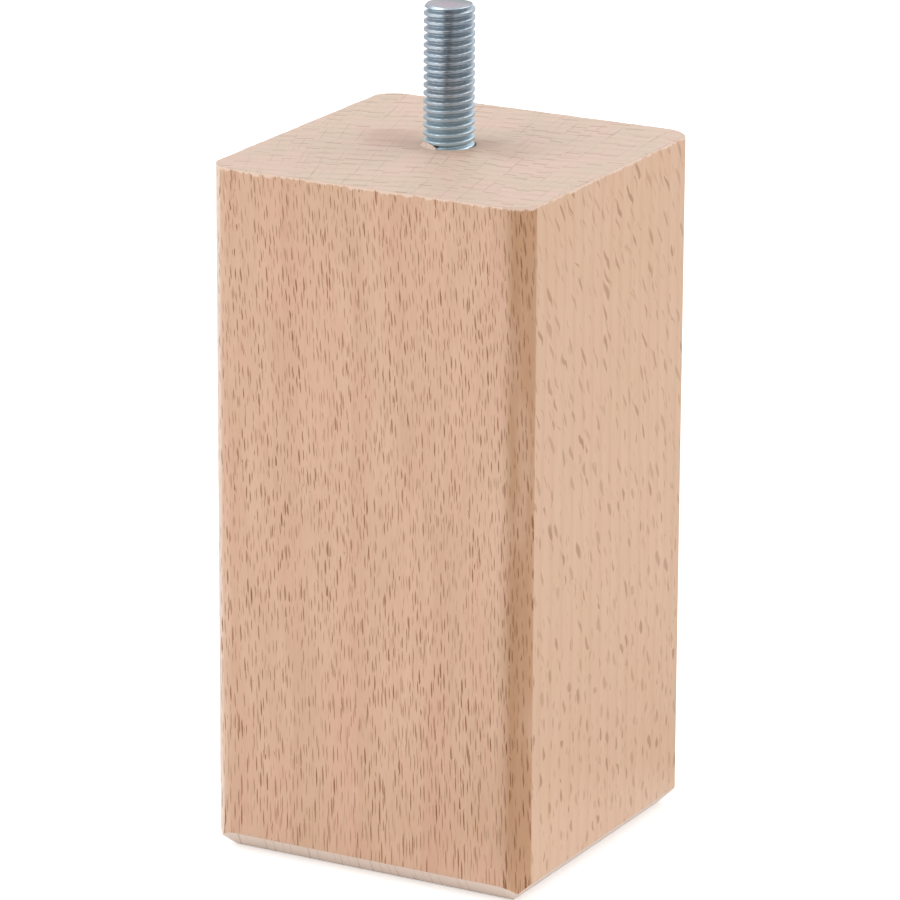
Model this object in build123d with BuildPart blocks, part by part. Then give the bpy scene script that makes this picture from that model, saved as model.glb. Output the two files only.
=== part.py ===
from build123d import *
from math import radians, tan
import os

# A square furniture leg of solid beech, with a hanger bolt driven into the end grain of its top.
# The leg screws into a threaded plate or insert under the furniture by the bolt's free end.
# Sizes are in millimetres and +Z is up. The origin is the middle of the foot face, and the
# leg stands on that face. The bolt's two threads are drawn as plain envelopes: the machine
# thread as a cylinder over its crests, and the wood-screw thread as its core.
# The bolt stands a little off the middle of the top.

# Beech block
block_width = 55.0  # along X
block_depth = 55.0  # along Y
block_height = 110.0
corner_radius = 5.0  # rounds the four upright edges
face_planing = 0.4  # planed off each X face after the rounding, which leaves a faint arris there
foot_chamfer = 3.0  # at 45 degrees, all round the foot, so that the end grain doesn't splinter
top_arris = 0.3  # the sawn top edge is only broken with sandpaper

# Hanger bolt, M8 x 1.25 on its free end
thread_diameter = 8.0  # over the crests
thread_pitch = 1.25
free_length = 22.0  # stands out of the top face
tip_chamfer = 0.4  # at 45 degrees, on the free end
thread_runout = 1.0  # the thread fades into the shank over this length, just below the top face
shank_length = 4.0  # plain part below the runout
core_diameter = 5.6  # of the wood-screw thread
wood_screw_length = 23.0  # from the shank's shoulder to the point
gimlet_length = 8.0  # the tapered last part of the wood screw

# Stepped hole that the bolt is driven into
bolt_offset_x = -1.8  # from the middle of the top
bolt_offset_y = 2.0
mouth_clearance = 0.3  # radial, round the machine thread, where the drill has frayed the grain
mouth_reserve = 0.2  # the wide mouth goes this much deeper than the runout
shank_clearance = 0.05  # radial
drill_reserve = 2.0  # the pilot hole goes this much deeper than the bolt's point
drill_point_angle = 118.0  # included angle of the drill's tip

# Radii worked out from the sizes above
thread_radius = thread_diameter / 2
blank_diameter = thread_diameter - 0.6495 * thread_pitch  # the thread is rolled on this bar
shank_radius = blank_diameter / 2
core_radius = core_diameter / 2
mouth_radius = thread_radius + mouth_clearance
shank_hole_radius = shank_radius + shank_clearance

# Levels up the leg, worked out from the sizes above
tip_level = block_height + free_length
runout_level = block_height - thread_runout
shoulder_level = runout_level - shank_length
shoulder_height = shank_radius - core_radius  # the shoulder is a 45 degree cone
gimlet_level = shoulder_level - wood_screw_length + gimlet_length
point_level = shoulder_level - wood_screw_length
mouth_level = runout_level - mouth_reserve
drill_level = point_level - drill_reserve
drill_point_depth = core_radius / tan(radians(drill_point_angle / 2))

# The bolt's axis, and the upright plane through it that both half sections are drawn on
bolt_axis = Axis((bolt_offset_x, bolt_offset_y, 0), (0, 0, 1))
bolt_plane = Plane(origin=bolt_axis.position, x_dir=(1, 0, 0), z_dir=(0, -1, 0))


# Block: a chamfered square bar with rounded upright edges, eased at the top and drilled
with BuildPart() as leg_block:
    # One straight chamfer is cut along each foot edge, so that they meet in mitres
    with BuildSketch():
        Rectangle(block_width, block_depth)
    extrude(amount=block_height)
    chamfer(leg_block.edges().group_by(Axis.Z)[0], length=foot_chamfer)
    # Its upright edges are rounded as on a slightly wider bar, so each rounding runs smoothly
    # into the Y face and meets the planed X face at an angle.
    with BuildSketch() as rounding:
        Rectangle(block_width + 2 * face_planing, block_depth)
        fillet(rounding.vertices(), radius=corner_radius)
    extrude(amount=block_height, mode=Mode.INTERSECT)
    chamfer(leg_block.edges().group_by(Axis.Z)[-1], length=top_arris)
    # The hole is cut by one turn of its half section: a wide mouth, the shank's bore, a cone
    # that seats the bolt's shoulder, the pilot bore at the core's size and the drill's point.
    with BuildSketch(bolt_plane) as hole_half_section:
        with BuildLine():
            Polyline(
                (0, block_height),
                (mouth_radius, block_height),
                (mouth_radius, mouth_level),
                (shank_hole_radius, mouth_level),
                (shank_hole_radius, shoulder_level + shank_clearance),
                (core_radius, shoulder_level - shoulder_height),
                (core_radius, drill_level),
                (0, drill_level - drill_point_depth),
                close=True,
            )
        make_face()
    revolve(axis=bolt_axis, mode=Mode.SUBTRACT)
leg_block.part.label = "leg_block"


# Hanger bolt: one turned outline, from the gimlet point up to the chamfered free end
with BuildPart() as threaded_stud:
    with BuildSketch(bolt_plane) as stud_half_section:
        with BuildLine():
            Polyline(
                (0, point_level),
                (core_radius, gimlet_level),
                (core_radius, shoulder_level - shoulder_height),
                (shank_radius, shoulder_level),
                (shank_radius, runout_level),
                (thread_radius, block_height),
                (thread_radius, tip_level - tip_chamfer),
                (thread_radius - tip_chamfer, tip_level),
                (0, tip_level),
                close=True,
            )
        make_face()
    revolve(axis=bolt_axis)
threaded_stud.part.label = "threaded_stud"


os.makedirs("parts", exist_ok=True)
for piece in (leg_block, threaded_stud):
    export_step(piece.part, f"parts/{piece.part.label}.step")
    box = piece.part.bounding_box()
    print(piece.part.label, f"volume {piece.part.volume / 1000:.1f} cm3,",
          f"{box.size.X:.1f} x {box.size.Y:.1f} x {box.size.Z:.1f} mm,",
          f"from z = {box.min.Z:.1f} to {box.max.Z:.1f} mm")
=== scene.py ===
"""Square beech furniture leg with a zinc-plated hanger bolt standing out of its top.

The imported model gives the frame. Three pieces are worked out here as surfaces on grids: the
beech block with its sawn top and frayed hole, the bolt with its real helical thread, and the
sliver of wood that was torn up beside the bolt. All lengths are in metres, so sizes are
written as a number of MM. Angles are in degrees, and tilts in radians. An azimuth of 0 is the
-Y side, and 90 is the +X side.
"""
from math import cos, pi, radians, sin, tan
from types import SimpleNamespace

import bpy
import numpy as np
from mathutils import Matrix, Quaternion, Vector


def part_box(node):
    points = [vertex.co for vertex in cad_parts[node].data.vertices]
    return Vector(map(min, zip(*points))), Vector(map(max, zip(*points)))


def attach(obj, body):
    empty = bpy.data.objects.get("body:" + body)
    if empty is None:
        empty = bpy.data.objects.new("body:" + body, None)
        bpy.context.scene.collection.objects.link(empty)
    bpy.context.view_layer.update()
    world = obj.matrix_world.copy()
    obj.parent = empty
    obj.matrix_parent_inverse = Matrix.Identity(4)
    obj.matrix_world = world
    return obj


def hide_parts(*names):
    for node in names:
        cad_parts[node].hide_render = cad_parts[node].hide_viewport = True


MM = 0.001

# Camera, placed round the middle of the block and aimed a little above it
CAMERA_AZIMUTH = 28.629
CAMERA_ELEVATION = 17.466
CAMERA_DISTANCE = 0.9004
AIM_AZIMUTH = 28.645
AIM_DOWN = 17.058
CAMERA_ROLL = 0.273
CAMERA_CLIP = 10.0 * MM
SENSOR_WIDTH = 36.0
LENS_LENGTH = 231.46

# A ripple is a smooth random wave round a closed line: (height, number of values, seed).
# A relief is the same over a plane: (height, size of a cell, seed).

# Section of the beech block
CORNER_RADIUS = 5.0 * MM
FACE_PLANING = 0.4 * MM  # off each X face, after the corners were rounded
ARRIS_GAP = 0.4 * MM  # the X face is flat up to here, so that its shading stays flat too
ARC_POINTS = (20, 30)  # of a corner, on each side of its mitre
FACE_POINTS = (75, 72)  # on half of an X face and of a Y face

# Top of the beech block
TOP_ARRIS = 0.28 * MM
ARRIS_TILTS = np.linspace(0.2, 1.0, 5) * pi / 2
ARRIS_RIPPLES = [(0.3, 300, 3), (0.3, 80, 4)]
CHIP_RIPPLES = [(1.0, 260, 5)]
CHIP_START = 0.75  # a chip is there where its ripple is higher than this
CHIP_SIZE = 3.5
TOP_ROWS = 44
TOP_CROWDING = 1.15  # over 1, the rows lie closer to each other at the hole
SAWN_DEPTH = 0.015 * MM
SAWN_RELIEFS = [(0.6, 5.0 * MM, 8), (0.4, 1.6 * MM, 9)]

# Side and foot of the beech block
SIDE_ROWS = 10
SIDE_GUARD = 1.2 * MM  # the last row of the side is this far above the chamfer
FOOT_CHAMFER = 3.0 * MM
FOOT_EASE = 0.2 * MM  # the chamfer's edges are rounded from this far on each side of them
EASE_TILTS = np.linspace(0.0, pi / 4, 4)
CHAMFER_ROWS = (0.15, 0.5, 0.85)
FOOT_ROWS = (0.97, 0.75, 0.5, 0.25, 0.08)
BLOCK_SHARP = 20.0

# Stepped hole in the beech block
MOUTH_RADIUS = 4.05 * MM
MOUTH_WIDENING = 0.14 * MM
MOUTH_WIDE_ANGLE = 15.0
MOUTH_DEPTH = 1.2 * MM
MOUTH_ROWS = [(0.0, MOUTH_DEPTH), (0.0, 0.5 * MM), (0.0, 0.10 * MM), (0.02 * MM, 0.04 * MM)]
RIM_WIDENING = 0.05 * MM
FRAY_RIPPLES = [(0.02 * MM, 9, 11), (0.02 * MM, 34, 12), (0.02 * MM, 110, 13)]
SHANK_HOLE_RADIUS = 3.644 * MM
SHOULDER_DEPTH = 5.0 * MM
SHOULDER_HEIGHT = 0.8 * MM
PILOT_DEPTH = 30.0 * MM
DRILL_POINT_DEPTH = 1.68 * MM

# Hanger bolt
THREAD_PITCH = 1.25 * MM
CREST_RADIUS = 3.96 * MM
THREAD_DEPTH = 0.62 * MM
THREAD_PHASE = 0.16  # of a turn
CREST_END = 0.28  # from the middle of a crest, as a share of the way to the next groove
GROOVE_START = 0.88
THREAD_ROUNDING = 0.25
SHALLOW_DEPTH = 0.70  # of the thread at the wood, as a share of its depth higher up
SHALLOW_LENGTH = 1.0 * MM
SHANK_RADIUS = 3.594 * MM
CORE_RADIUS = 2.8 * MM
TIP_CHAMFER = 0.42 * MM
TIP_CHAMFER_HEIGHT = 0.6 * MM
TIP_CHAMFER_ROWS = 13
TIP_DISH = 0.05 * MM
TIP_ROWS = np.array([0.985, 0.94, 0.8, 0.6, 0.4, 0.2])
RUNOUT = 1.0 * MM
RUNOUT_GAP = 0.1 * MM
GIMLET_LENGTH = 8.0 * MM
POINT_RADIUS = 0.28 * MM
POINT_HEIGHT = 0.3 * MM
BOLT_COLUMNS = 128
ROWS_PER_TURN = 22
BOLT_SHARP = 40.0

# Torn sliver
SLIVER_START = 212.0
SLIVER_SPAN = 58.0
SLIVER_GRID = (60, 20)  # points along it and round its section
SLIVER_RADIUS = 4.52 * MM
SLIVER_ROOT = 0.15 * MM  # how far it starts below the top
SLIVER_LEDGE = 0.12 * MM
SLIVER_ARCH = 0.78 * MM
ARCH_POWER = 0.7
ARCH_FALL = 0.35
SLIVER_RIPPLES = [(0.07 * MM, 14, 21), (0.05 * MM, 37, 22)]
SLIVER_THICKNESS = 0.13 * MM
THICKNESS_POWER = 0.4
THICKNESS_FALL = 0.6
SLIVER_LEAN = 0.48 * MM
SLIVER_BULGE = 0.08 * MM
SLIVER_SHARP = 50.0


def smoothstep(low, high, value):
    """0 below low, 1 above high, and the cubic 3t^2 - 2t^3 between them."""
    t = np.clip((value - low) / (high - low), 0.0, 1.0)
    return t * t * (3.0 - 2.0 * t)


def ripple(turn, waves):
    """A sum of smooth random waves round a closed line. Turn goes from 0 to 1 along it. Each wave
    joins its random values from -1 to 1, evenly spaced, by cosine steps."""
    total = 0.0
    for height, count, seed in waves:
        values = np.random.default_rng(seed).uniform(-1.0, 1.0, count)
        along = (turn % 1.0) * count
        first = np.floor(along).astype(int)
        part = 0.5 - 0.5 * np.cos(pi * (along - first))
        total = total + height * (values[first % count] * (1.0 - part) + values[(first + 1) % count] * part)
    return total


def relief(x, y, waves):
    """A sum of smooth random heights over a plane. Each wave is a square lattice of random
    values from -1 to 1, joined by cubic steps along x and along y."""
    size = 256
    total = 0.0
    for height, cell, seed in waves:
        lattice = np.random.default_rng(seed).uniform(-1.0, 1.0, (size, size))
        column = np.floor(x / cell).astype(int)
        row = np.floor(y / cell).astype(int)
        s = smoothstep(0.0, 1.0, x / cell - column)
        t = smoothstep(0.0, 1.0, y / cell - row)
        near = lattice[row % size, column % size] * (1 - s)
        near = near + lattice[row % size, (column + 1) % size] * s
        far = lattice[(row + 1) % size, column % size] * (1 - s)
        far = far + lattice[(row + 1) % size, (column + 1) % size] * s
        total = total + height * (near * (1 - t) + far * t)
    return total


def mesh_piece(name, points, faces):
    """An object of that name in the scene, with its mesh made from points and faces."""
    mesh = bpy.data.meshes.new(name)
    mesh.from_pydata(points.tolist(), [], faces)
    mesh.update()
    piece = bpy.data.objects.new(name, mesh)
    bpy.context.scene.collection.objects.link(piece)
    return piece


def ring_piece(name, rings, first_pole, last_pole, sharp_angle):
    """A closed tube of rings, each an array of points going anticlockwise seen from above while
    the rings climb, joined by quads, with a fan of triangles to a pole at each end. Its shading
    is smooth, and broken at edges that turn by more than the given angle."""
    count = rings.shape[1]
    points = np.vstack([rings.reshape(-1, 3), [first_pole], [last_pole]])
    row = np.arange(rings.shape[0] - 1)[:, None] * count
    here = np.arange(count)[None, :]
    after = (here + 1) % count
    quads = np.stack([row + here, row + after, row + count + after, row + count + here], -1)
    here = here[0]
    after = after[0]
    first = np.full(count, len(points) - 2)
    last = np.full(count, len(points) - 1)
    top = (rings.shape[0] - 1) * count
    fans = np.vstack([np.stack([first, after, here], -1), np.stack([last, top + here, top + after], -1)])
    piece = mesh_piece(name, points, quads.reshape(-1, 4).tolist() + fans.tolist())
    piece.data.shade_smooth()
    piece.data.set_sharp_from_angle(angle=radians(sharp_angle))
    return piece


def block_outline(half):
    """The middle path and outward normals of the block's section, walked anticlockwise.

    One quarter goes from the middle of the +X face round the corner to the middle of the +Y face.
    Its rounding is an arc on a bar wider by the planing, so it starts where it leaves the planed
    X face. The other quarters are its mirror images. A point that is set in by d from the
    outline is path + (radius - d) * normal, cut off at the X face, which is set in by d too.
    """
    start = np.arccos((CORNER_RADIUS - FACE_PLANING) / CORNER_RADIUS)
    # The mitre is where the corner is as far from the X face as it is from the Y face
    mitre = pi / 4 + np.arcsin(FACE_PLANING / CORNER_RADIUS / 2**0.5)
    lower = np.linspace(start, mitre, ARC_POINTS[0], False)
    upper = np.linspace(mitre, pi / 2, ARC_POINTS[1], False)
    angle = np.concatenate([lower, upper])
    core = half - CORNER_RADIUS
    arris_y = core + CORNER_RADIUS * sin(start)
    x_face = np.linspace(0.0, arris_y - ARRIS_GAP, FACE_POINTS[0])
    y_face = np.linspace(core + FACE_PLANING, 0.0, FACE_POINTS[1])
    path_x = np.concatenate([x_face * 0 + core, angle * 0 + core + FACE_PLANING, y_face])
    path_y = np.concatenate([x_face, angle * 0 + core, y_face * 0 + core])
    angle = np.concatenate([x_face * 0, angle, y_face * 0 + pi / 2])
    quarter = np.stack([path_x, path_y, np.cos(angle), np.sin(angle)], -1)
    mirror = quarter[::-1]
    whole = [quarter[:-1], mirror[:-1] * [-1, 1, -1, 1], quarter[:-1] * -1, mirror[:-1] * [1, -1, 1, -1]]
    whole = np.concatenate(whole)
    return whole[:, :2], whole[:, 2:]


def beech_block(low, high, bolt):
    """The block as one closed surface over (column round the outline, row down the profile).

    The rows run from the drill's point up the hole, over its frayed rim, out across the sawn top,
    down over the broken arris and the side, in along the foot's mitred chamfers and across the
    foot face. On a chamfer a point c in from the faces is c below the chamfer's upper edge.
    """
    top = high.z
    half = high.x
    path, normal = block_outline(half)
    columns = len(path)
    outline = path + CORNER_RADIUS * normal
    step = np.linalg.norm(np.roll(outline, -1, 0) - outline, axis=1)
    turn = (np.cumsum(step) - step) / step.sum()

    def set_in(d):
        """The outline, set in by d."""
        flat = path + (CORNER_RADIUS - np.asarray(d))[..., None] * normal
        return np.column_stack([np.clip(flat[:, 0], d - half, half - d), flat[:, 1]])

    def at(flat, z):
        """Points of the plane, lifted to z."""
        return np.column_stack([flat, np.broadcast_to(z, columns)])

    # The arris wanders a little and is chipped where the saw broke the fibres
    chips = np.clip(ripple(turn, CHIP_RIPPLES) - CHIP_START, 0, 1) * CHIP_SIZE
    arris = TOP_ARRIS * (1.0 + ripple(turn, ARRIS_RIPPLES) + chips)
    outer = set_in(arris)
    bearing = outer - bolt
    bearing = bearing / np.linalg.norm(bearing, axis=1)[:, None]
    heading = np.arctan2(bearing[:, 1], bearing[:, 0]) / (2 * pi)
    # The drill ran a little to one side, so the gap is wider there
    wide = 0.5 + 0.5 * np.cos(2 * pi * heading - radians(MOUTH_WIDE_ANGLE))
    mouth = MOUTH_RADIUS + ripple(heading, FRAY_RIPPLES) + MOUTH_WIDENING * wide**3

    def circle(radius, z):
        """A ring round the bolt's axis, with its points in line with those of the outline."""
        return at(bolt + np.broadcast_to(radius, columns)[:, None] * bearing, z)

    shoulder = top - SHOULDER_DEPTH
    rows = [
        circle(CORE_RADIUS, top - PILOT_DEPTH),
        circle(CORE_RADIUS, shoulder - SHOULDER_HEIGHT),
        circle(SHANK_HOLE_RADIUS, shoulder),
        circle(SHANK_HOLE_RADIUS, top - MOUTH_DEPTH),
    ]
    for widening, depth in MOUTH_ROWS:
        rows.append(circle(mouth + widening, top - depth))
    rim = circle(mouth + RIM_WIDENING, top)[:, :2]
    for share in np.linspace(0.0, 1.0, TOP_ROWS) ** TOP_CROWDING:
        flat = rim * (1 - share) + outer * share
        rows.append(at(flat, top - SAWN_DEPTH * (1.0 + relief(flat[:, 0], flat[:, 1], SAWN_RELIEFS))))
    for tilt in ARRIS_TILTS:
        rows.append(at(set_in(arris * (1 - sin(tilt))), top - arris * (1 - cos(tilt))))

    # At a corner the side is recessed from the faces' planes, and the chamfer's edge is lower
    side = set_in(0.0)
    near_core = np.clip(side, CORNER_RADIUS - half, half - CORNER_RADIUS)
    reach = np.abs(side - near_core).max(1)
    recess = CORNER_RADIUS - reach
    edge = FOOT_CHAMFER - recess
    for share in np.linspace(0.0, 1.0, SIDE_ROWS)[1:]:
        rows.append(at(side, (top - arris) * (1 - share) + (edge + SIDE_GUARD) * share))

    def chamfered(c, z):
        """The outline, set in so that no point is nearer than c to the faces' planes."""
        shrink = np.minimum(1.0, (CORNER_RADIUS - c) / reach)
        return at(near_core + (side - near_core) * shrink[:, None], z)

    # The radius that eases an edge where the surface turns by 45 degrees
    bend = FOOT_EASE / tan(pi / 8)
    for tilt in EASE_TILTS:
        c = recess + bend * (1 - cos(tilt))
        rows.append(chamfered(c, edge + FOOT_EASE - bend * sin(tilt)))
    upper = recess + FOOT_EASE * cos(pi / 4)
    lower = FOOT_CHAMFER - FOOT_EASE * cos(pi / 4)
    for share in CHAMFER_ROWS:
        c = upper * (1 - share) + lower * share
        rows.append(chamfered(c, FOOT_CHAMFER - c))
    for tilt in EASE_TILTS[::-1]:
        c = np.full(columns, FOOT_CHAMFER + FOOT_EASE - bend * sin(tilt))
        rows.append(chamfered(c, low.z + bend * (1 - cos(tilt))))
    foot = rows[-1][:, :2]
    for share in FOOT_ROWS:
        rows.append(at(foot * share, low.z))

    pit = (bolt[0], bolt[1], top - PILOT_DEPTH - DRILL_POINT_DEPTH)
    piece = ring_piece("beech_block", np.array(rows), pit, (0.0, 0.0, low.z), BLOCK_SHARP)
    # Its outside is walked downwards, so the faces are turned round
    piece.data.flip_normals()
    return piece


def thread_profile(phase):
    """How far the surface lies below the crest, as a share of the thread's depth, against the
    place within one turn: a crest that the plating has filled out, a straight flank, and a
    narrow groove. A quarter of a smooth step is mixed in, which rounds off the corners."""
    away = np.abs((phase + 0.5) % 1.0 - 0.5) * 2.0
    flank = np.clip((away - CREST_END) / (GROOVE_START - CREST_END), 0.0, 1.0)
    return (1.0 - THREAD_ROUNDING) * flank + THREAD_ROUNDING * smoothstep(0.0, 1.0, flank)


def threaded_bolt(low, high, bolt, face):
    """The hanger bolt as one closed surface over (angle round the bolt, height along it).

    The radius is the crest's less the thread profile at the phase height / pitch - angle / turn,
    which is a right-hand helix, and never more than the chamfer's cone at the tip. The thread is
    shallower just above the wood. Below the top face it fades into the shank, and the hidden
    wood screw is drawn as its core. The tip is dished by 1 - r^2, with r from its middle to its
    edge.
    """
    angle = np.arange(BOLT_COLUMNS) / BOLT_COLUMNS * 2 * pi
    turns = (high.z - (face - RUNOUT)) / THREAD_PITCH
    z = np.linspace(face - RUNOUT, high.z, int(turns * ROWS_PER_TURN))
    z = np.unique(np.concatenate([z, high.z - TIP_CHAMFER_HEIGHT * np.linspace(0, 1, TIP_CHAMFER_ROWS)]))
    phase = z[:, None] / THREAD_PITCH + THREAD_PHASE - angle[None, :] / (2 * pi)
    fade = smoothstep(face - RUNOUT, face, z)[:, None]
    crest = SHANK_RADIUS + (CREST_RADIUS - SHANK_RADIUS) * fade
    fullness = SHALLOW_DEPTH + (1.0 - SHALLOW_DEPTH) * smoothstep(face, face + SHALLOW_LENGTH, z)[:, None]
    radius = crest - THREAD_DEPTH * fade * fullness * thread_profile(phase)
    cone = CREST_RADIUS - TIP_CHAMFER + (high.z - z) * TIP_CHAMFER / TIP_CHAMFER_HEIGHT
    radius = np.minimum(radius, cone[:, None])
    shoulder = face - SHOULDER_DEPTH
    plain = np.array([
        (POINT_RADIUS, low.z + POINT_HEIGHT),
        (CORE_RADIUS, low.z + GIMLET_LENGTH),
        (CORE_RADIUS, shoulder - (SHANK_RADIUS - CORE_RADIUS)),
        (SHANK_RADIUS, shoulder),
        (SHANK_RADIUS, face - RUNOUT - RUNOUT_GAP),
    ])
    ones = np.ones((1, BOLT_COLUMNS))
    radius = np.vstack([plain[:, :1] * ones, radius, radius[-1] * TIP_ROWS[:, None]])
    height = np.concatenate([plain[:, 1], z, high.z - TIP_DISH * (1 - TIP_ROWS**2)])
    ring = np.stack([np.cos(angle), np.sin(angle)], -1)
    flat = bolt + radius[:, :, None] * ring
    rings = np.concatenate([flat, height[:, None, None] * ones[:, :, None]], -1)
    point = (bolt[0], bolt[1], low.z)
    dish = (bolt[0], bolt[1], high.z - TIP_DISH)
    return ring_piece("threaded_bolt", rings, point, dish, BOLT_SHARP)


def torn_sliver(bolt, face):
    """A sliver of wood that the drill lifted at the hole's rim, still held along its foot.

    Along the rim it spans an angle. Its height is a ledge, a ripple and the lopsided arch
    sin(pi t)^p * (1 - f t), with t from 0 to 1 along it. Its section is a thin closed lens, which
    leans in towards the thread as it rises and bulges a little.
    """
    along = np.linspace(0.0, 1.0, SLIVER_GRID[0])
    cross = np.arange(SLIVER_GRID[1]) / SLIVER_GRID[1] * 2 * pi
    angle = radians(SLIVER_START) + radians(SLIVER_SPAN) * along
    arch = np.sin(pi * along) ** ARCH_POWER * (1.0 - ARCH_FALL * along)
    rise = SLIVER_LEDGE + SLIVER_ARCH * arch + ripple(along, SLIVER_RIPPLES)
    thick = SLIVER_THICKNESS * np.sin(pi * along) ** THICKNESS_POWER
    up = 0.5 - 0.5 * np.cos(cross)
    side = np.sin(cross)
    height = face - SLIVER_ROOT + (rise[:, None] + SLIVER_ROOT) * up
    lean = SLIVER_LEAN * up + SLIVER_BULGE * np.sin(pi * up) * (1.0 - along[:, None])
    radius = SLIVER_RADIUS - lean + thick[:, None] * side * (1.0 - THICKNESS_FALL * up)
    x = bolt[0] + radius * np.cos(angle)[:, None]
    y = bolt[1] + radius * np.sin(angle)[:, None]
    rings = np.stack([x, y, height], -1)
    piece = ring_piece("torn_sliver", rings, rings[0].mean(0), rings[-1].mean(0), SLIVER_SHARP)
    # Its sections are walked the other way, so the faces are turned round
    piece.data.flip_normals()
    return piece


class Graph:
    """Builds one material. Most calls add a node and give back its output socket."""

    def __init__(self, name):
        self.material = bpy.data.materials.new(name)
        self.material.use_nodes = True
        self.tree = self.material.node_tree
        self.shader = self.tree.nodes["Principled BSDF"]

    def feed(self, socket, value):
        """Links a socket to an output, or sets it to a plain value."""
        if isinstance(value, bpy.types.NodeSocket):
            self.tree.links.new(value, socket)
        elif value is not None:
            socket.default_value = value

    def add(self, kind, *inputs, **settings):
        """A new node, with its settings and with its inputs in their order."""
        node = self.tree.nodes.new(kind)
        for key, value in settings.items():
            setattr(node, key, value)
        for socket, value in zip(node.inputs, inputs):
            self.feed(socket, value)
        return node

    def named(self, kind, **inputs):
        """A new node, with its inputs given by name."""
        node = self.tree.nodes.new(kind)
        for key, value in inputs.items():
            self.feed(node.inputs[key], value)
        return node

    def math(self, operation, *values):
        return self.add("ShaderNodeMath", *values, operation=operation).outputs[0]

    def fold(self, operation, first, others):
        """Joins a row of values two by two."""
        for other in others:
            first = self.math(operation, first, other)
        return first

    def times(self, first, *others):
        return self.fold("MULTIPLY", first, others)

    def plus(self, first, *others):
        return self.fold("ADD", first, others)

    def most(self, first, *others):
        return self.fold("MAXIMUM", first, others)

    def minus(self, first, second):
        return self.math("SUBTRACT", first, second)

    def square(self, value):
        return self.times(value, value)

    def vector(self, operation, *values):
        return self.add("ShaderNodeVectorMath", *values, operation=operation).outputs[0]

    def stretch(self, vector, x, y, z):
        return self.vector("MULTIPLY", vector, (x, y, z))

    def join(self, x, y, z):
        return self.add("ShaderNodeCombineXYZ", x, y, z).outputs[0]

    def split(self, vector):
        return self.add("ShaderNodeSeparateXYZ", vector).outputs

    def noise(self, vector, pattern):
        """Smooth noise. Its pattern is how often it repeats per unit along each axis, how many
        finer layers it has, and how strong each one is next to the one before."""
        x, y, z, detail, roughness = pattern
        vector = self.stretch(vector, x, y, z)
        node = self.named("ShaderNodeTexNoise", Vector=vector, Scale=1.0, Detail=detail, Roughness=roughness)
        return node.outputs[0]

    def line(self, value, low, high, start=0.0, end=1.0):
        """Goes from start at low to end at high, in a straight line, and is level outside."""
        return self.add("ShaderNodeMapRange", value, low, high, start, end).outputs[0]

    def ramp(self, value, low, high, start=0.0, end=1.0):
        """The same with a smooth step in place of the straight line."""
        node = self.add("ShaderNodeMapRange", value, low, high, start, end)
        node.interpolation_type = "SMOOTHSTEP"
        return node.outputs[0]

    def mix(self, factor, first, second):
        node = self.add("ShaderNodeMix", data_type="RGBA")
        self.feed(node.inputs[0], factor)
        self.feed(node.inputs[6], first)
        self.feed(node.inputs[7], second)
        return node.outputs[2]

    def random(self, **inputs):
        """An even random value from 0 to 1 for each value of W, or for each pair in Vector."""
        node = self.add("ShaderNodeTexWhiteNoise", noise_dimensions="1D" if "W" in inputs else "2D")
        for key, value in inputs.items():
            self.feed(node.inputs[key], value)
        return node.outputs[0]

    def bump(self, height, strength, distance):
        return self.named("ShaderNodeBump", Strength=strength, Distance=distance, Height=height).outputs[0]

    def own_space(self):
        """The piece's own coordinates in millimetres, and its normals in the same space."""
        coords = self.add("ShaderNodeTexCoord").outputs
        scale = 1.0 / MM
        return self.stretch(coords["Object"], scale, scale, scale), coords["Normal"]

    def finish(self, **inputs):
        """Feeds the shader's own sockets and gives back the finished material."""
        for key, value in inputs.items():
            self.feed(self.shader.inputs[key.replace("_", " ")], value)
        return self.material


# Beech. Its patterns are worked out in millimetres of the block's own space.
BLOCK_TOP = 110.0
PITH_X = 49.0
PITH_Y = -206.0
RING_RADIUS = 200.0  # at which a distance round the rings is taken
FIBRE_SLANT = -0.010
FIBRE_BEND = 0.0003
FIBRE_WANDER = 3.0

# Noise patterns, as repeats per millimetre across the rays, along them and up the leg, then the
# number of finer layers and their strength
WANDER = (0.025, 0.025, 0.010, 1.0, 0.5)
PATCHES = (0.17, 0.12, 0.045, 2.0, 0.5)
CLOUDS = (0.05, 0.04, 0.012, 2.0, 0.5)
PALE_PATCHES = (0.30, 0.30, 0.06, 2.0, 0.5)
STREAKS = (2.6, 2.6, 0.24, 3.0, 0.6)
RING_WAVES = (0.35, 0.02, 0.02, 1.0, 0.5)
RAY_WOBBLE = (0.9, 0.9, 1.1, 1.0, 0.5)
SPINDLE_CROWDS = (0.95, 0.03, 0.055, 1.0, 0.5)
FLECK_SWAY = (0.1, 0.5, 0.30, 1.0, 0.5)

# The same with repeats along X, Y and Z
RAGGED_RIM = (1.0, 1.0, 0.5, 4.0, 0.6)
PORES = (5.0, 5.0, 5.0, 2.0, 0.5)
LINE_FADING = (0.20, 0.20, 0.20, 2.0, 0.5)

# Ramps: where each starts and ends, and its values there if they aren't 0 and 1
TANGENTIAL = (0.34, 0.50)
END_GRAIN = (0.3, 0.6)
SIDE_PATCHES = (0.30, 0.70)
SHADED_CORNERS = (-0.20, -0.43, 0.0, 0.75)
PALE_SPOTS = (0.42, 0.72, 0.0, 0.45)
STREAK_EDGE = (0.45, 0.75)
LATE_START = (0.45, 0.93)
LATE_END = (1.0, 0.95)
SHEEN_LEFT = [(-0.42, -0.64), (-0.15, -0.45, 0.0, 0.9)]  # against nx, and against ny
SHEEN_RIGHT = [(0.5, 0.8), (0.05, 0.35, 0.0, 0.4)]
RIM_EDGE = (0.28, 0.55)
END_PATCHES = (0.36, 0.64)
DASH_START = (0.80, 0.90)
DASH_END = (1.0, 0.96)
DASH_CHANCE = (0.20, 1.0, 0.0, 0.62)
BOLT_SHADOW_EDGE = (2.4, 1.0, 0.0, 0.80)
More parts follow.
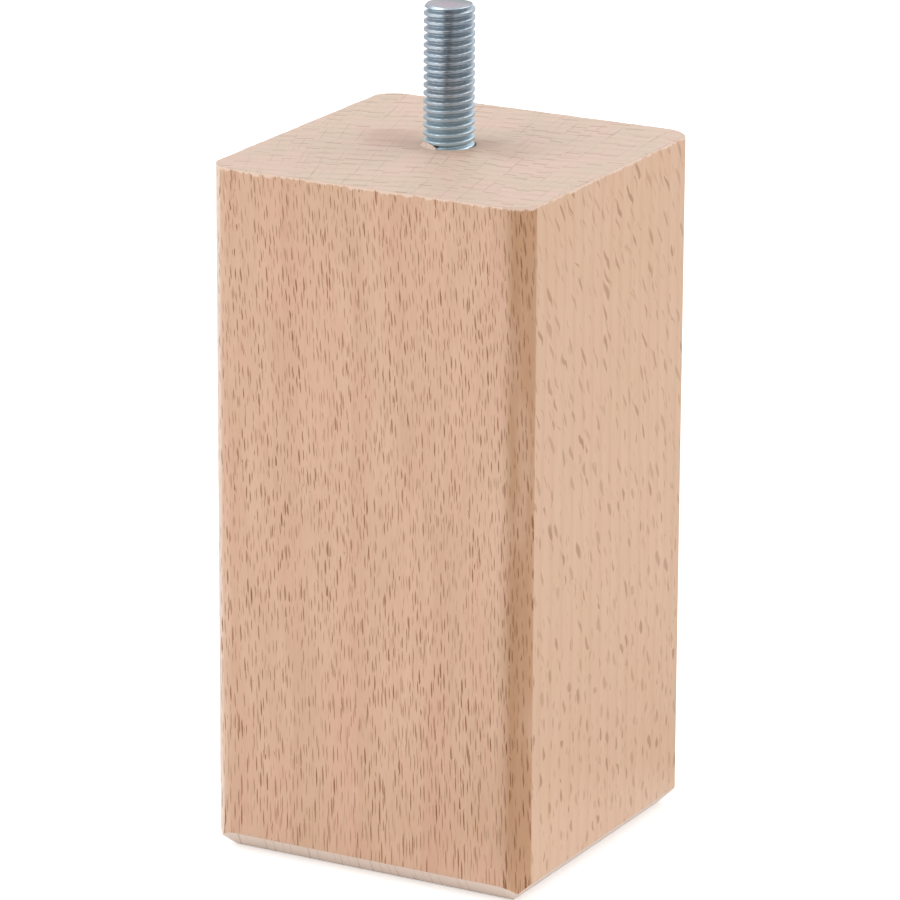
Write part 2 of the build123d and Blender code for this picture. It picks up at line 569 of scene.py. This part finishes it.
PORE_EDGE = (0.48, 0.78, 0.0, 0.14)
LINE_STRENGTH = (0.35, 0.60, 0.22, 0.55)
FOOT_GRAIN_AND_LIGHT_ZONE = (8.0, 5.0)

# Growth rings, and how strongly they and the streaks are tinted on each face
RING_WIDTH = 3.1
RING_CLOUDING = 1.5
RING_WAVING = 0.35
LATE_ON_SIDE = 0.13
LATE_ON_END = 0.22
STRAW_ON_RADIAL = 0.5
STREAK_ON_RADIAL = 0.13
STREAK_ON_TANGENTIAL = 0.22

# Ray marks: size of a cell of their pattern, half size of a mark, share of cells that have a
# mark, and shift of the pattern. Sizes are across the ray, along it and up the leg.
BOLD_SPINDLES = ((0.66, 420.0, 3.5), (0.160, 900.0, 1.38), 0.88, (0.0, 0.0, 0.0))
FINE_SPINDLES = ((0.58, 420.0, 2.5), (0.105, 900.0, 0.98), 0.45, (7.3, 3.0, 5.7))
WIDE_FLECKS = ((3.0, 300.0, 4.5), (0.50, 900.0, 1.32), 0.92, (0.0, 0.5, 0.0))
SMALL_FLECKS = ((1.7, 300.0, 3.0), (0.23, 900.0, 0.88), 0.70, (3.1, 8.5, 1.9))
LONG_LINES = ((3.0, 13.0, 60.0), (0.15, 8.0, 90.0), 0.85, (0.0, 0.0, 0.0))
SHORT_LINES = ((1.6, 8.0, 60.0), (0.12, 5.0, 90.0), 0.65, (4.3, 1.7, 0.0))
MARK_SCATTER = 0.85  # how far a mark may be from the middle of its cell
MARK_SIZES = (0.70, 1.60)
MARK_EDGE = (1.0, 0.45)  # fades in from a mark's outline to this far inside it
MARK_FAINTNESS = 1.3  # over 1, most marks are faint
MARK_STRENGTHS = (0.45, 1.0)
SHARE_EDGE = 0.05  # marks this near to being left out are faded

# How the spindles, the flecks and the end grain's marks are laid
WOBBLE_REACH = 0.20
SPINDLE_STAGGER = 2.2
SPINDLE_EVEN = 45.0  # height below which the spindles get longer
SPINDLE_BEND = 0.0045
CROWD_EDGE = (0.30, 0.58, 0.55, 1.0)
CROWD_LOW = (50.0, 20.0, 0.0, 0.06)
FINE_STRENGTH = 0.72
FLECK_STAGGER = 0.65
FLECK_UPRIGHT = 18.0  # height at which the flecks stand upright
FLECK_BEND = 0.0028
FLECK_SWAYING = 1.8
SMALL_STRENGTH = 0.65
FLECK_STRENGTH = 0.51
RIM_RAGGEDNESS = 1.8
COLUMNS_PER_MM = 0.42  # of ring lines
COLUMN_SHIFT = 0.70
BOLT_SHADOW_REACH = (16.0, 7.0)
BOLT_SHADOW_CLOUDING = 2.2
SHORT_STRENGTH = 0.50
FOOT_LINE_STRENGTH = 0.45

SIDE_PINK = (0.715, 0.425, 0.285, 1.0)
SIDE_YELLOW = (0.685, 0.425, 0.272, 1.0)
SIDE_LIGHT = (0.755, 0.490, 0.340, 1.0)
SIDE_STRAW = (0.735, 0.480, 0.300, 1.0)
SIDE_PAINTED_SHEEN = (0.890, 0.700, 0.570, 1.0)
SIDE_RIM_FIBRES_AND_HIGHLIGHT = (0.830, 0.610, 0.480, 1.0)
CORNER_PAINTED_SHADE = (0.550, 0.280, 0.130, 1.0)
END_PINK = (0.675, 0.490, 0.400, 1.0)
END_YELLOW = (0.640, 0.495, 0.385, 1.0)
END_SHADOW_AND_LATEWOOD = (0.500, 0.330, 0.245, 1.0)
END_FOOT_GRAIN_AND_LIGHT = (0.840, 0.680, 0.580, 1.0)
END_BROWN = (0.310, 0.180, 0.115, 1.0)
RAY_BROWN = (0.255, 0.074, 0.002, 1.0)
RING_BROWN = (0.480, 0.225, 0.110, 1.0)
BEECH_ROUGHNESS = (0.36, 0.55)  # of planed wood, and of end grain and ray marks
BEECH_IOR = 1.55
BEECH_SPECULAR = 0.75
BEECH_BUMP = (0.25, 0.06 * MM)


def fibre_space(g, place):
    """Coordinates that follow the tree: distance round the rings, distance from the pith, and
    height, with the fibres slanting and wandering a little. Gives the way from the pith too."""
    wander = g.times(g.minus(g.noise(place, WANDER), 0.5), FIBRE_WANDER)
    x, y, z = g.split(place)
    from_x = g.plus(g.minus(x, PITH_X), wander)
    from_y = g.plus(g.minus(y, PITH_Y), wander)
    radial = g.math("SQRT", g.plus(g.square(from_x), g.square(from_y)))
    across = g.times(g.math("ARCTAN2", from_x, from_y), RING_RADIUS)
    slant = g.plus(g.times(z, FIBRE_BEND), FIBRE_SLANT)
    across = g.plus(across, g.times(z, slant))
    return g.join(across, radial, z), from_x, from_y


def wood_patterns(g):
    """What all the faces of the block share, so that their grain fits together."""
    place, normal = g.own_space()
    fibre, from_x, from_y = fibre_space(g, place)
    across, radial, up = g.split(fibre)
    nx, ny, nz = g.split(normal)
    # How squarely a face looks at the pith: 1 on a tangential face, 0 on a radial one
    outward = g.math("DIVIDE", g.plus(g.times(nx, from_x), g.times(ny, from_y)), radial)
    clouds = g.noise(fibre, CLOUDS)
    ring_place = g.plus(g.times(radial, 1.0 / RING_WIDTH), g.times(clouds, RING_CLOUDING))
    ring_place = g.plus(ring_place, g.times(g.noise(fibre, RING_WAVES), RING_WAVING))
    ring = g.math("FRACT", ring_place)
    wobble = g.times(g.minus(g.noise(fibre, RAY_WOBBLE), 0.5), WOBBLE_REACH)
    return SimpleNamespace(
        place=place,
        nx=nx,
        ny=ny,
        fibre=fibre,
        across=across,
        radial=radial,
        up=up,
        tangential=g.ramp(g.math("ABSOLUTE", outward), *TANGENTIAL),
        end=g.ramp(g.math("ABSOLUTE", nz), *END_GRAIN),
        patches=g.noise(fibre, PATCHES),
        clouds=clouds,
        pale=g.noise(fibre, PALE_PATCHES),
        streaks=g.noise(fibre, STREAKS),
        ring_place=ring_place,
        late=g.times(g.ramp(ring, *LATE_START), g.ramp(ring, *LATE_END)),
        rays=g.vector("ADD", fibre, g.join(wobble, 0.0, 0.0)),
    )


def ray_marks(g, fibre, cell, half, share, shift):
    """Lens-shaped sheets, one at most in each cell of a pattern of irregular cells. A point is
    inside a lens where s * (|a| + b^2 + c^2) < 1, with each distance from its middle taken in
    half sizes, and the first is the thin one. Each sheet has its own size s and its own
    darkness, and only a share of them is there."""
    scaled = g.vector("ADD", g.stretch(fibre, 1.0 / cell[0], 1.0 / cell[1], 1.0 / cell[2]), shift)
    node = g.named("ShaderNodeTexVoronoi", Vector=scaled, Scale=1.0, Randomness=MARK_SCATTER)
    away = g.vector("ABSOLUTE", g.vector("SUBTRACT", scaled, node.outputs["Position"]))
    a, b, c = g.split(g.stretch(away, cell[0] / half[0], cell[1] / half[1], cell[2] / half[2]))
    red, green, blue = g.split(node.outputs["Color"])
    edge = g.times(g.plus(a, g.plus(g.square(b), g.square(c))), g.line(blue, 0.0, 1.0, *MARK_SIZES))
    there = g.ramp(red, 1.0 - share, 1.0 - share + SHARE_EDGE)
    strength = g.line(g.math("POWER", green, MARK_FAINTNESS), 0.0, 1.0, *MARK_STRENGTHS)
    return g.times(g.ramp(edge, *MARK_EDGE), g.times(there, strength))


def spindles(g, wood):
    """Seen from their edges, on the tangential faces, the rays are dark spindles. Their pattern
    is staggered from ray to ray, and stretched towards the foot, where they are longer."""
    below = g.math("MINIMUM", g.minus(wood.up, SPINDLE_EVEN), 0.0)
    stagger = g.plus(g.times(g.square(below), SPINDLE_BEND), g.times(wood.across, SPINDLE_STAGGER))
    laid = g.vector("ADD", wood.rays, g.join(0.0, 0.0, stagger))
    bold = ray_marks(g, laid, *BOLD_SPINDLES)
    fine = ray_marks(g, laid, *FINE_SPINDLES)
    crowd = g.plus(g.ramp(g.noise(wood.fibre, SPINDLE_CROWDS), *CROWD_EDGE), g.ramp(wood.up, *CROWD_LOW))
    return g.times(g.most(bold, g.times(fine, FINE_STRENGTH)), g.times(crowd, wood.tangential))


def flecks(g, wood):
    """Cut along their length, on the radial faces, the rays are wider flecks. They lean more the
    higher they are, by a parabola, and sway a little."""
    lean = g.times(g.square(g.minus(wood.up, FLECK_UPRIGHT)), FLECK_BEND)
    lean = g.plus(lean, g.times(g.noise(wood.fibre, FLECK_SWAY), FLECK_SWAYING))
    shifted = g.plus(wood.up, g.times(wood.radial, FLECK_STAGGER))
    laid = g.join(g.plus(wood.radial, lean), wood.across, shifted)
    wide = ray_marks(g, laid, *WIDE_FLECKS)
    small = ray_marks(g, laid, *SMALL_FLECKS)
    strength = g.line(wood.tangential, 0.0, 1.0, FLECK_STRENGTH, 0.0)
    return g.times(g.most(wide, g.times(small, SMALL_STRENGTH)), strength)


def side_grain(g, wood, marks):
    """Colour of the four side faces: pink and yellow patches, straw on the radial faces, growth
    rings, streaks and ray marks, with painted shade on two corners and a painted sheen on the
    other two, under the pale rim at the top, which is partly a painted highlight."""
    side = g.mix(g.ramp(wood.patches, *SIDE_PATCHES), SIDE_PINK, SIDE_YELLOW)
    # Painted shade: two opposite corners are painted a darker tan, as the shade on the rounding that turns
    # away from the side lamps
    side = g.mix(g.ramp(g.times(wood.nx, wood.ny), *SHADED_CORNERS), side, CORNER_PAINTED_SHADE)
    side = g.mix(g.line(wood.tangential, 0.0, 1.0, STRAW_ON_RADIAL, 0.0), side, SIDE_STRAW)
    side = g.mix(g.ramp(wood.pale, *PALE_SPOTS), side, SIDE_LIGHT)
    side = g.mix(g.times(wood.late, LATE_ON_SIDE), side, RING_BROWN)
    strength = g.line(wood.tangential, 0.0, 1.0, STREAK_ON_RADIAL, STREAK_ON_TANGENTIAL)
    side = g.mix(g.times(g.ramp(wood.streaks, *STREAK_EDGE), strength), side, RING_BROWN)
    # Painted highlight: the other two corners are painted pale, as the sheen where the faces turn away at
    # the outlines
    left = g.times(g.ramp(wood.nx, *SHEEN_LEFT[0]), g.ramp(wood.ny, *SHEEN_LEFT[1]))
    right = g.times(g.ramp(wood.nx, *SHEEN_RIGHT[0]), g.ramp(wood.ny, *SHEEN_RIGHT[1]))
    side = g.mix(g.most(left, right), side, SIDE_PAINTED_SHEEN)
    side = g.mix(marks, side, RAY_BROWN)
    # A pale, ragged line along the top edge: partly crushed fibres that the saw and the sandpaper left, and
    # partly a painted highlight of the arris
    rim = g.times(g.noise(wood.place, RAGGED_RIM), RIM_RAGGEDNESS)
    rim = g.plus(rim, g.minus(wood.up, BLOCK_TOP))
    return g.mix(g.ramp(rim, *RIM_EDGE), side, SIDE_RIM_FIBRES_AND_HIGHLIGHT)


def end_grain(g, wood, bolt):
    """Colour of the sawn top and of the foot: patches, broken ring lines, pores and rays, with a
    painted shadow of the bolt round the hole. The foot's end grain is paler, partly as painted light from
    below, and has only its rays."""
    top = g.mix(g.ramp(wood.patches, *END_PATCHES), END_PINK, END_YELLOW)
    # Painted shadow: the top is painted darker round the hole, as the bolt's shadow
    x, y, z = g.split(wood.place)
    aside = g.times(g.minus(x, bolt[0] / MM), 1.0 / BOLT_SHADOW_REACH[0])
    ahead = g.times(g.minus(y, bolt[1] / MM), 1.0 / BOLT_SHADOW_REACH[1])
    near = g.plus(g.plus(g.square(aside), g.square(ahead)), g.times(wood.patches, BOLT_SHADOW_CLOUDING))
    top = g.mix(g.ramp(near, *BOLT_SHADOW_EDGE), top, END_SHADOW_AND_LATEWOOD)
    # Between one ray and the next the ring lines are shifted, and some are missing
    column = g.math("FLOOR", g.plus(g.times(g.split(wood.rays)[0], COLUMNS_PER_MM), wood.clouds))
    brick = g.plus(wood.ring_place, g.times(g.random(W=column), COLUMN_SHIFT))
    chance = g.random(Vector=g.join(column, g.math("FLOOR", brick), 0.0))
    within = g.math("FRACT", brick)
    dash = g.times(g.ramp(within, *DASH_START), g.ramp(within, *DASH_END), g.ramp(chance, *DASH_CHANCE))
    top = g.mix(dash, top, END_BROWN)
    top = g.mix(g.times(wood.late, LATE_ON_END), top, END_SHADOW_AND_LATEWOOD)
    top = g.mix(g.ramp(g.noise(wood.place, PORES), *PORE_EDGE), top, END_BROWN)
    long = ray_marks(g, wood.rays, *LONG_LINES)
    short = ray_marks(g, wood.rays, *SHORT_LINES)
    lines = g.most(long, g.times(short, SHORT_STRENGTH))
    strength = g.ramp(g.noise(wood.place, LINE_FADING), *LINE_STRENGTH)
    top = g.mix(g.times(lines, strength), top, END_BROWN)
    # Painted light: near the floor, the foot and its chamfer are painted paler, as light from below, on top
    # of their paler end grain
    foot = g.mix(g.times(lines, FOOT_LINE_STRENGTH), END_FOOT_GRAIN_AND_LIGHT, END_BROWN)
    return g.mix(g.ramp(z, *FOOT_GRAIN_AND_LIGHT_ZONE), top, foot)


def beech_material(bolt):
    """Solid beech: growth rings round a pith outside the block, fine fibres along it, and rays
    that show as spindles on the tangential faces, flecks on the radial ones and lines on the
    end grain. The planed faces shine a little more than the end grain and the rays."""
    g = Graph("beech")
    wood = wood_patterns(g)
    marks = g.most(spindles(g, wood), flecks(g, wood))
    return g.finish(
        Base_Color=g.mix(wood.end, side_grain(g, wood, marks), end_grain(g, wood, bolt)),
        Roughness=g.line(g.most(wood.end, marks), 0.0, 1.0, *BEECH_ROUGHNESS),
        IOR=BEECH_IOR,
        Specular_IOR_Level=BEECH_SPECULAR,
        Normal=g.bump(g.minus(g.times(wood.streaks, 0.5), wood.pale), *BEECH_BUMP),
    )


# Torn beech
TORN_FIBRES = (5.0, 5.0, 0.8, 2.0, 0.5)
TORN_EDGE = (0.35, 0.65)
TORN_TAN = (0.60, 0.45, 0.36, 1.0)
TORN_PALE = (0.78, 0.64, 0.54, 1.0)
TORN_ROUGHNESS = 0.6
TORN_BUMP = (0.4, 0.1 * MM)


def torn_material():
    """Freshly torn beech: pale fibres that run up the sliver."""
    g = Graph("torn_beech")
    place, _ = g.own_space()
    fibres = g.noise(place, TORN_FIBRES)
    return g.finish(
        Base_Color=g.mix(g.ramp(fibres, *TORN_EDGE), TORN_TAN, TORN_PALE),
        Roughness=TORN_ROUGHNESS,
        Normal=g.bump(fibres, *TORN_BUMP),
    )


# Zinc plating, with distances in millimetres from the bolt's axis or above the foot
ZINC_CLOUDS = (0.6, 0.6, 0.4, 3.0, 0.5)
ZINC_SPECKLE = (1.5, 1.5, 5.0, 2.0, 0.5)
CLOUD_EDGE = (0.35, 0.65)
LOW_ZINC = (120.0, 111.0)
TIP_FACING = (0.9, 0.99)
TIP_CENTRE = (2.8, 0.8)
TIP_REAR = (-0.3, 3.2)
ROOT_SHADE_EDGE = (3.55, 3.32, 0.0, 0.25)
ZINC_BLUE = (0.437, 0.523, 0.597, 1.0)
ZINC_GREY = (0.483, 0.543, 0.602, 1.0)
ZINC_PAINTED_LIGHT = (0.515, 0.652, 0.732, 1.0)
TIP_LILAC = (0.487, 0.474, 0.525, 1.0)
TIP_PINK = (0.535, 0.410, 0.500, 1.0)
TIP_GREEN = (0.270, 0.350, 0.345, 1.0)
ROOT_PAINTED_SHADE = (0.16, 0.19, 0.21, 1.0)
ZINC_ROUGHNESS = (0.3, 0.7, 0.31, 0.39)
LOW_ROUGHNESS = 0.08  # is added near the wood


def zinc_material(bolt):
    """Bright zinc plating: bluish metal, a little uneven, with painted shade down in the thread's roots.
    It is painted paler and bluer towards the wood, as painted light. On the sawn tip it is lilac, with a
    pink middle and a greenish rear."""
    g = Graph("zinc_plating")
    place, normal = g.own_space()
    x, y, _ = g.split(g.vector("SUBTRACT", place, (bolt[0] / MM, bolt[1] / MM, 0.0)))
    out = g.math("SQRT", g.plus(g.square(x), g.square(y)))
    tint = g.mix(g.ramp(g.noise(place, ZINC_CLOUDS), *CLOUD_EDGE), ZINC_BLUE, ZINC_GREY)
    low = g.ramp(g.split(place)[2], *LOW_ZINC)
    # Painted light: the plating is painted paler and bluer towards the wood
    tint = g.mix(low, tint, ZINC_PAINTED_LIGHT)
    film = g.mix(g.ramp(out, *TIP_CENTRE), TIP_LILAC, TIP_PINK)
    film = g.mix(g.ramp(y, *TIP_REAR), film, TIP_GREEN)
    tint = g.mix(g.ramp(g.split(normal)[2], *TIP_FACING), tint, film)
    # Painted shade: the thread's roots are painted darker
    tint = g.mix(g.ramp(out, *ROOT_SHADE_EDGE), tint, ROOT_PAINTED_SHADE)
    roughness = g.line(g.noise(place, ZINC_SPECKLE), *ZINC_ROUGHNESS)
    return g.finish(
        Base_Color=tint,
        Metallic=1.0,
        Roughness=g.plus(roughness, g.times(low, LOW_ROUGHNESS)),
    )


# Studio. Softboxes: azimuth, elevation, distance, width, height and radiance.
AMBIENT = 0.82
SOFTBOXES = {
    "left_softbox": (-52, 52, 1.2, 1.0, 0.5, 2.2),
    "right_softbox": (135, 44, 1.2, 1.0, 0.9, 1.35),
}

# Cards: azimuths, points of the profile as (distance from the leg's axis, height), and grey level
SWEEP = [(0.046, 0.001), (0.3, 0.001), (1.0, 0.001), (1.3, 1.0)]
REFLECTION_CARDS = {
    "dim_card": ((-3, 4), SWEEP, 0.5),
    "black_card": ((4, 43), [(0.046, 0.001), (1.0, 0.001)], 0.01),
    "wall_card": ((4, 43), [(1.0, 0.001), (1.3, 1.0)], 0.30),
    "dark_card": ((42, 96), SWEEP, 0.58),
    "grey_card": ((96, 145), [(0.3, 0.003), (1.0, 0.003), (1.28, 1.0)], 0.42),
    "pale_card": ((96, 182), SWEEP, 0.8),
    "left_card": ((-145, -75), SWEEP, 0.75),
    "ceiling_card": ((0, 360), [(0.001, 1.2), (0.35, 1.2)], 0.05),
}
CARD_COLUMNS = 24

FLOOR_RINGS = np.array([24.2, 50.0, 200.0, 1000.0, 4000.0]) * MM
FLOOR_COLUMNS = 72
FLOOR_DROP = 0.02 * MM
FLOOR_WHITE = (0.85, 0.85, 0.85, 1.0)
FLOOR_ROUGHNESS = 0.9
FLOOR_GLOW = 0.42
WHITE = (1.0, 1.0, 1.0, 1.0)


def floor_material():
    """Matt white. It also shines a little, only to the eye and in reflections, so that it stays
    white round the leg and keeps its shadow."""
    g = Graph("floor_white")
    rays = g.add("ShaderNodeLightPath").outputs
    seen = g.most(rays["Is Camera Ray"], rays["Is Glossy Ray"], rays["Is Transmission Ray"])
    return g.finish(
        Base_Color=FLOOR_WHITE,
        Roughness=FLOOR_ROUGHNESS,
        Emission_Color=WHITE,
        Emission_Strength=g.times(seen, FLOOR_GLOW),
    )


def matt_material(name, level):
    """Plain matt grey for a studio card."""
    g = Graph(name)
    return g.finish(Base_Color=(level, level, level, 1.0), Roughness=1.0, Specular_IOR_Level=0.0)


def around(azimuth, elevation, distance, centre):
    """The point at that azimuth a, elevation e and distance from the centre, along
    (sin a * cos e, -cos a * cos e, sin e)."""
    a = radians(azimuth)
    e = radians(elevation)
    return centre + Vector((sin(a) * cos(e), -cos(a) * cos(e), sin(e))) * distance


def softbox(name, centre, azimuth, elevation, distance, width, height, radiance):
    """An area lamp that faces the centre. Its power is radiance times pi times its area."""
    lamp = bpy.data.lights.new(name, "AREA")
    lamp.shape = "RECTANGLE"
    lamp.size = width
    lamp.size_y = height
    lamp.energy = radiance * pi * width * height
    holder = bpy.data.objects.new(name, lamp)
    bpy.context.scene.collection.objects.link(holder)
    holder.location = around(azimuth, elevation, distance, centre)
    holder.rotation_mode = "QUATERNION"
    holder.rotation_quaternion = (centre - holder.location).to_track_quat("-Z", "Y")


def stage_grid(name, x, y, z, material):
    """A sheet of the stage, from three arrays of coordinates over (row, column)."""
    rows, columns = x.shape
    row = np.arange(rows - 1)[:, None] * columns
    corner = row + np.arange(columns - 1)[None, :]
    quads = np.stack([corner, corner + 1, corner + columns + 1, corner + columns], -1)
    piece = mesh_piece(name, np.stack([x, y, z], -1).reshape(-1, 3), quads.reshape(-1, 4).tolist())
    piece.data.materials.append(material)
    return piece


def reflection_card(name, azimuths, profile, level):
    """A studio card that only reflections see. It bends round the leg between two azimuths, and
    its profile is a list of (distance from the leg's axis, height above the floor)."""
    azimuth = np.radians(np.linspace(azimuths[0], azimuths[1], CARD_COLUMNS))[None, :]
    distance, height = np.array(profile).T[:, :, None]
    x = distance * np.sin(azimuth)
    y = -distance * np.cos(azimuth)
    card = stage_grid(name, x, y, height + 0 * azimuth, matt_material(name, level))
    card.visible_camera = False
    card.visible_diffuse = False
    card.visible_shadow = False
    card.visible_transmission = False


def floor(low):
    """A wide white floor under the leg, as square rings of growing size. It is left open inside
    the foot's outline, so that the foot can be looked at from below. A square ring is a circle
    divided by the larger of the sizes of its cosine and its sine."""
    angle = np.linspace(0.0, 2 * pi, FLOOR_COLUMNS + 1)
    across, along = np.cos(angle), np.sin(angle)
    radius = FLOOR_RINGS[:, None] / np.maximum(np.abs(across), np.abs(along))
    height = np.full(radius.shape, low.z - FLOOR_DROP)
    stage_grid("floor", radius * across, radius * along, height, floor_material())


def world_light(ambient):
    """Even light of the given strength, and plain white where the eye or a reflection sees it."""
    world = bpy.data.worlds.new("studio")
    bpy.context.scene.world = world
    world.use_nodes = True
    nodes = world.node_tree.nodes
    links = world.node_tree.links
    nodes.clear()
    back = nodes.new("ShaderNodeBackground")
    back.inputs["Color"].default_value = WHITE
    rays = nodes.new("ShaderNodeLightPath")
    level = nodes.new("ShaderNodeMapRange")
    level.inputs["From Min"].default_value = 1.0
    level.inputs["From Max"].default_value = 0.0
    level.inputs["To Min"].default_value = 1.0
    level.inputs["To Max"].default_value = ambient
    seen = rays.outputs["Is Camera Ray"]
    for name in ("Is Glossy Ray", "Is Transmission Ray"):
        most = nodes.new("ShaderNodeMath")
        most.operation = "MAXIMUM"
        links.new(seen, most.inputs[0])
        links.new(rays.outputs[name], most.inputs[1])
        seen = most.outputs[0]
    output = nodes.new("ShaderNodeOutputWorld")
    links.new(seen, level.inputs["Value"])
    links.new(level.outputs[0], back.inputs["Strength"])
    links.new(back.outputs[0], output.inputs["Surface"])


def camera(centre):
    """The photograph's view: a long lens, a little above the leg, turned to the -Y and +X faces."""
    data = bpy.data.cameras.new("camera")
    data.sensor_width = SENSOR_WIDTH
    data.lens = LENS_LENGTH
    data.clip_start = CAMERA_CLIP
    holder = bpy.data.objects.new("camera", data)
    bpy.context.scene.collection.objects.link(holder)
    holder.location = around(CAMERA_AZIMUTH, CAMERA_ELEVATION, CAMERA_DISTANCE, centre)
    aim = -around(AIM_AZIMUTH, AIM_DOWN, 1.0, Vector((0, 0, 0)))
    roll = Quaternion((0, 0, 1), radians(CAMERA_ROLL))
    holder.rotation_mode = "QUATERNION"
    holder.rotation_quaternion = aim.to_track_quat("-Z", "Y") @ roll
    bpy.context.scene.camera = holder


def fit_out(piece, material, slot, *nodes):
    """Gives a piece its material, and lets it stand for CAD nodes. Its slot is not used."""
    piece.data.materials.append(material)
    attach(piece, "root")
    if nodes:
        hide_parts(*nodes)


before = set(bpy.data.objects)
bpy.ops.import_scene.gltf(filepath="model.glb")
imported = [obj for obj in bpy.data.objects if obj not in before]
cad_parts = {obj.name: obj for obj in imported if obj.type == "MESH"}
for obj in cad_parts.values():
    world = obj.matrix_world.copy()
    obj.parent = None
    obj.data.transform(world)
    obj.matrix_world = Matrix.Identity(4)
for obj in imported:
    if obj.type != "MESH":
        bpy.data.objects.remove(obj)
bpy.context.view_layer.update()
block_low, block_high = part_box("leg_block")
bolt_low, bolt_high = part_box("threaded_stud")
bolt_axis = np.array([(bolt_low.x + bolt_high.x) / 2, (bolt_low.y + bolt_high.y) / 2])

block = beech_block(block_low, block_high, bolt_axis)
bolt = threaded_bolt(bolt_low, bolt_high, bolt_axis, block_high.z)
sliver = torn_sliver(bolt_axis, block_high.z)
fit_out(block, beech_material(bolt_axis), "beech_wood", "leg_block")
fit_out(bolt, zinc_material(bolt_axis), "zinc_plated_steel", "threaded_stud")
fit_out(sliver, torn_material(), "beech_wood")

middle = Vector((0, 0, (block_low.z + block_high.z) / 2))
camera(middle)
floor(block_low)
world_light(AMBIENT)
for name, settings in SOFTBOXES.items():
    softbox(name, middle, *settings)
for name, settings in REFLECTION_CARDS.items():
    reflection_card(name, *settings)
bpy.context.scene.view_settings.view_transform = "Standard"
